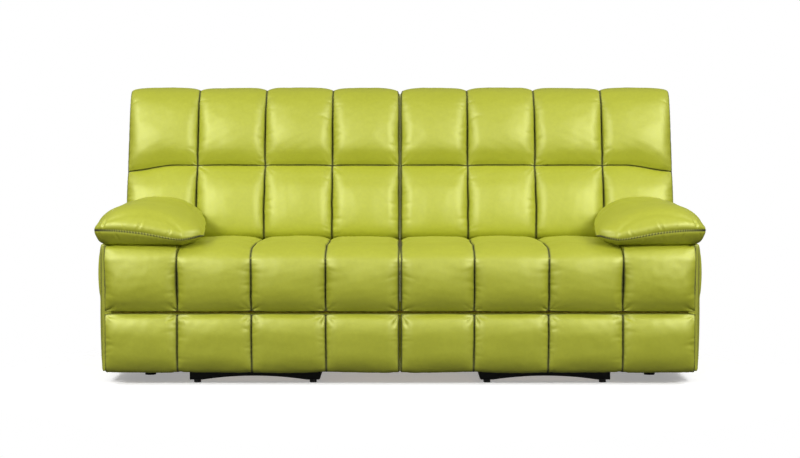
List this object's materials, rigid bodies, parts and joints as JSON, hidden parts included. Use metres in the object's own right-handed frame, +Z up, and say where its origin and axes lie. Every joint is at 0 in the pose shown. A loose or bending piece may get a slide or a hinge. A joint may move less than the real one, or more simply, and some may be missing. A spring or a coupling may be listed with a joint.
{
  "type": "reclining sofa",
  "caption": "Wide reclining sofa in tufted yellow-green leather, with fold-out footrests, reclining backs, padded arms and recessed release handles",
  "frame": {"origin": "on the floor under the middle of the sofa's bounding box", "axes": "+Z up, -Y towards the sitter's feet (front), +Y to the rear, +X to the right when seen from the front"},
  "size_m": [2.15, 0.9621, 1.0653],
  "materials": {
    "black_steel": "satin",
    "grey_steel": "satin",
    "plywood": "matte",
    "spring_steel": "satin",
    "seat_leather": "satin",
    "hinge_steel": "satin",
    "arm_leather": "satin",
    "pad_leather": "satin",
    "bolt_steel": "satin",
    "bezel_plastic": "matte",
    "cable_rubber": "matte",
    "footrest_leather": "satin",
    "handle_plastic": "satin",
    "webbing": "matte",
    "back_leather": "satin",
    "cover_leather": "satin",
    "glide_plastic": "satin",
    "panel_leather": "satin"
  },
  "bodies": {
    "sofa_frame": {"arm_bolts_left": "bolt_steel", "arm_bolts_right": "bolt_steel", "arm_cover_left": "arm_leather", "arm_cover_right": "arm_leather", "arm_frame_left": "plywood", "arm_frame_right": "plywood", "arm_pad_left": "pad_leather", "arm_pad_right": "pad_leather", "base_frame_left": "black_steel", "base_frame_right": "black_steel", "cross_stretchers": "plywood", "floor_glides": "glide_plastic", "footrest_spring_left": "spring_steel", "footrest_spring_right": "spring_steel", "handle_bezel_left": "bezel_plastic", "handle_bezel_right": "bezel_plastic", "hinge_fixed_leaves_left": "hinge_steel", "hinge_fixed_leaves_right": "hinge_steel", "rear_base_panel": "panel_leather", "release_cable_left": "cable_rubber", "release_cable_right": "cable_rubber", "seat_cushion_left": "seat_leather", "seat_cushion_right": "seat_leather", "seat_frame_left": "plywood", "seat_frame_right": "plywood", "seat_springs_left": "spring_steel", "seat_springs_right": "spring_steel", "side_plates_left": "grey_steel", "side_plates_right": "grey_steel"},
    "footrest_left": {"footrest_board_left": "plywood", "footrest_brackets_left": "grey_steel", "footrest_lower_pad_left": "footrest_leather", "footrest_upper_pad_left": "footrest_leather", "hinge_moving_leaves_left": "hinge_steel"},
    "drive_left": {"drive_arms_left": "grey_steel"},
    "push_left": {"push_arms_left": "grey_steel"},
    "back_left": {"back_brackets_left": "grey_steel", "back_frame_left": "plywood", "back_webbing_left": "webbing", "head_cushion_left": "back_leather", "lumbar_cushion_left": "back_leather", "rear_cover_left": "cover_leather"},
    "handle_left": {"release_handle_left": "handle_plastic"},
    "kick_left": {"kick_lever_left": "grey_steel"},
    "footrest_right": {"footrest_board_right": "plywood", "footrest_brackets_right": "grey_steel", "footrest_lower_pad_right": "footrest_leather", "footrest_upper_pad_right": "footrest_leather", "hinge_moving_leaves_right": "hinge_steel"},
    "drive_right": {"drive_arms_right": "grey_steel"},
    "push_right": {"push_arms_right": "grey_steel"},
    "back_right": {"back_brackets_right": "grey_steel", "back_frame_right": "plywood", "back_webbing_right": "webbing", "head_cushion_right": "back_leather", "lumbar_cushion_right": "back_leather", "rear_cover_right": "cover_leather"},
    "handle_right": {"release_handle_right": "handle_plastic"},
    "kick_right": {"kick_lever_right": "grey_steel"}
  },
  "joints": [
    {"name": "footrest_left_fold", "type": "hinge", "parent": "sofa_frame", "child": "footrest_left", "pos_m": [-0.39, -0.463, 0.445], "axis": [-1, 0, 0], "range_deg": [0, 90], "deforming": ["footrest_spring_left"]},
    {"name": "drive_left_turn", "type": "hinge", "parent": "sofa_frame", "child": "drive_left", "pos_m": [-0.517, -0.163, 0.262], "axis": [-1, 0, 0], "range_deg": [0, 90]},
    {"name": "push_left_turn", "type": "hinge", "parent": "drive_left", "child": "push_left", "pos_m": [-0.517, -0.039, 0.079], "axis": [-1, 0, 0], "range_deg": [-90, 0]},
    {"name": "back_left_recline", "type": "hinge", "parent": "sofa_frame", "child": "back_left", "pos_m": [-0.517, 0.182, 0.335], "axis": [-1, 0, 0], "range_deg": [0, 35]},
    {"name": "handle_left_pull", "type": "hinge", "parent": "sofa_frame", "child": "handle_left", "pos_m": [-1.065, -0.234, 0.4], "axis": [0, 0, 1], "range_deg": [0, 25], "stiffness_Nm_per_rad": 0.4},
    {"name": "kick_left_turn", "type": "hinge", "parent": "sofa_frame", "child": "kick_left", "pos_m": [-0.7395, -0.123, 0.195], "axis": [1, 0, 0], "range_deg": [0, 20]},
    {"name": "footrest_right_fold", "type": "hinge", "parent": "sofa_frame", "child": "footrest_right", "pos_m": [0.39, -0.463, 0.445], "axis": [-1, 0, 0], "range_deg": [0, 90], "deforming": ["footrest_spring_right"]},
    {"name": "drive_right_turn", "type": "hinge", "parent": "sofa_frame", "child": "drive_right", "pos_m": [0.517, -0.163, 0.262], "axis": [-1, 0, 0], "range_deg": [0, 90]},
    {"name": "push_right_turn", "type": "hinge", "parent": "drive_right", "child": "push_right", "pos_m": [0.517, -0.039, 0.079], "axis": [-1, 0, 0], "range_deg": [-90, 0]},
    {"name": "back_right_recline", "type": "hinge", "parent": "sofa_frame", "child": "back_right", "pos_m": [0.517, 0.182, 0.335], "axis": [-1, 0, 0], "range_deg": [0, 35]},
    {"name": "handle_right_pull", "type": "hinge", "parent": "sofa_frame", "child": "handle_right", "pos_m": [1.065, -0.234, 0.4], "axis": [0, 0, -1], "range_deg": [0, 25], "stiffness_Nm_per_rad": 0.4},
    {"name": "kick_right_turn", "type": "hinge", "parent": "sofa_frame", "child": "kick_right", "pos_m": [0.7395, -0.123, 0.195], "axis": [1, 0, 0], "range_deg": [0, 20]}
  ],
  "couplings": [
    {"joint": "drive_left_turn", "follows": "footrest_left_fold", "ratio": 1},
    {"joint": "push_left_turn", "follows": "footrest_left_fold", "ratio": -1},
    {"joint": "kick_left_turn", "follows": "handle_left_pull", "ratio": 0.8},
    {"joint": "drive_right_turn", "follows": "footrest_right_fold", "ratio": 1},
    {"joint": "push_right_turn", "follows": "footrest_right_fold", "ratio": -1},
    {"joint": "kick_right_turn", "follows": "handle_right_pull", "ratio": 0.8}
  ]
}
